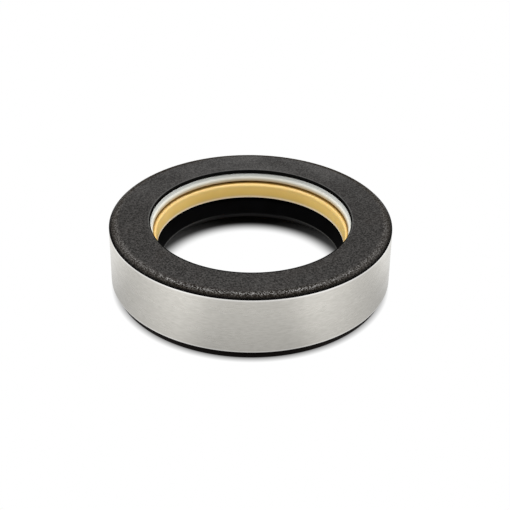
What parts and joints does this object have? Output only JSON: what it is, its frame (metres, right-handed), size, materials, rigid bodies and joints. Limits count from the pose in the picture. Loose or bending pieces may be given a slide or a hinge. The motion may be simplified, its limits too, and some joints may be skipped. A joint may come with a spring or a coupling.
{
  "type": "oil seal",
  "caption": "Rotary shaft seal: a ground steel case with a dark flange holds a bright retaining ring, an amber wiper and a sprung rubber lip that closes round a turning shaft.",
  "frame": {"origin": "on the seal's axis, at the plane that the rubber nose stands on", "axes": "+Z along the shaft axis, from the oil side up to the air side with the flange"},
  "size_m": [0.062, 0.062, 0.0162],
  "materials": {
    "case_steel": "wall ground bright, flange coated dark grey",
    "ring_steel": "bright plated",
    "wiper_polyurethane": "satin amber",
    "insert_steel": "plain sheet",
    "lip_rubber": "moulded black",
    "spring_steel": "drawn wire"
  },
  "bodies": {
    "root": {"outer_case": "case_steel", "retaining_ring": "ring_steel", "dust_wiper": "wiper_polyurethane", "lip_insert": "insert_steel", "sealing_lip": "lip_rubber", "garter_spring": "spring_steel"}
  },
  "joints": []
}
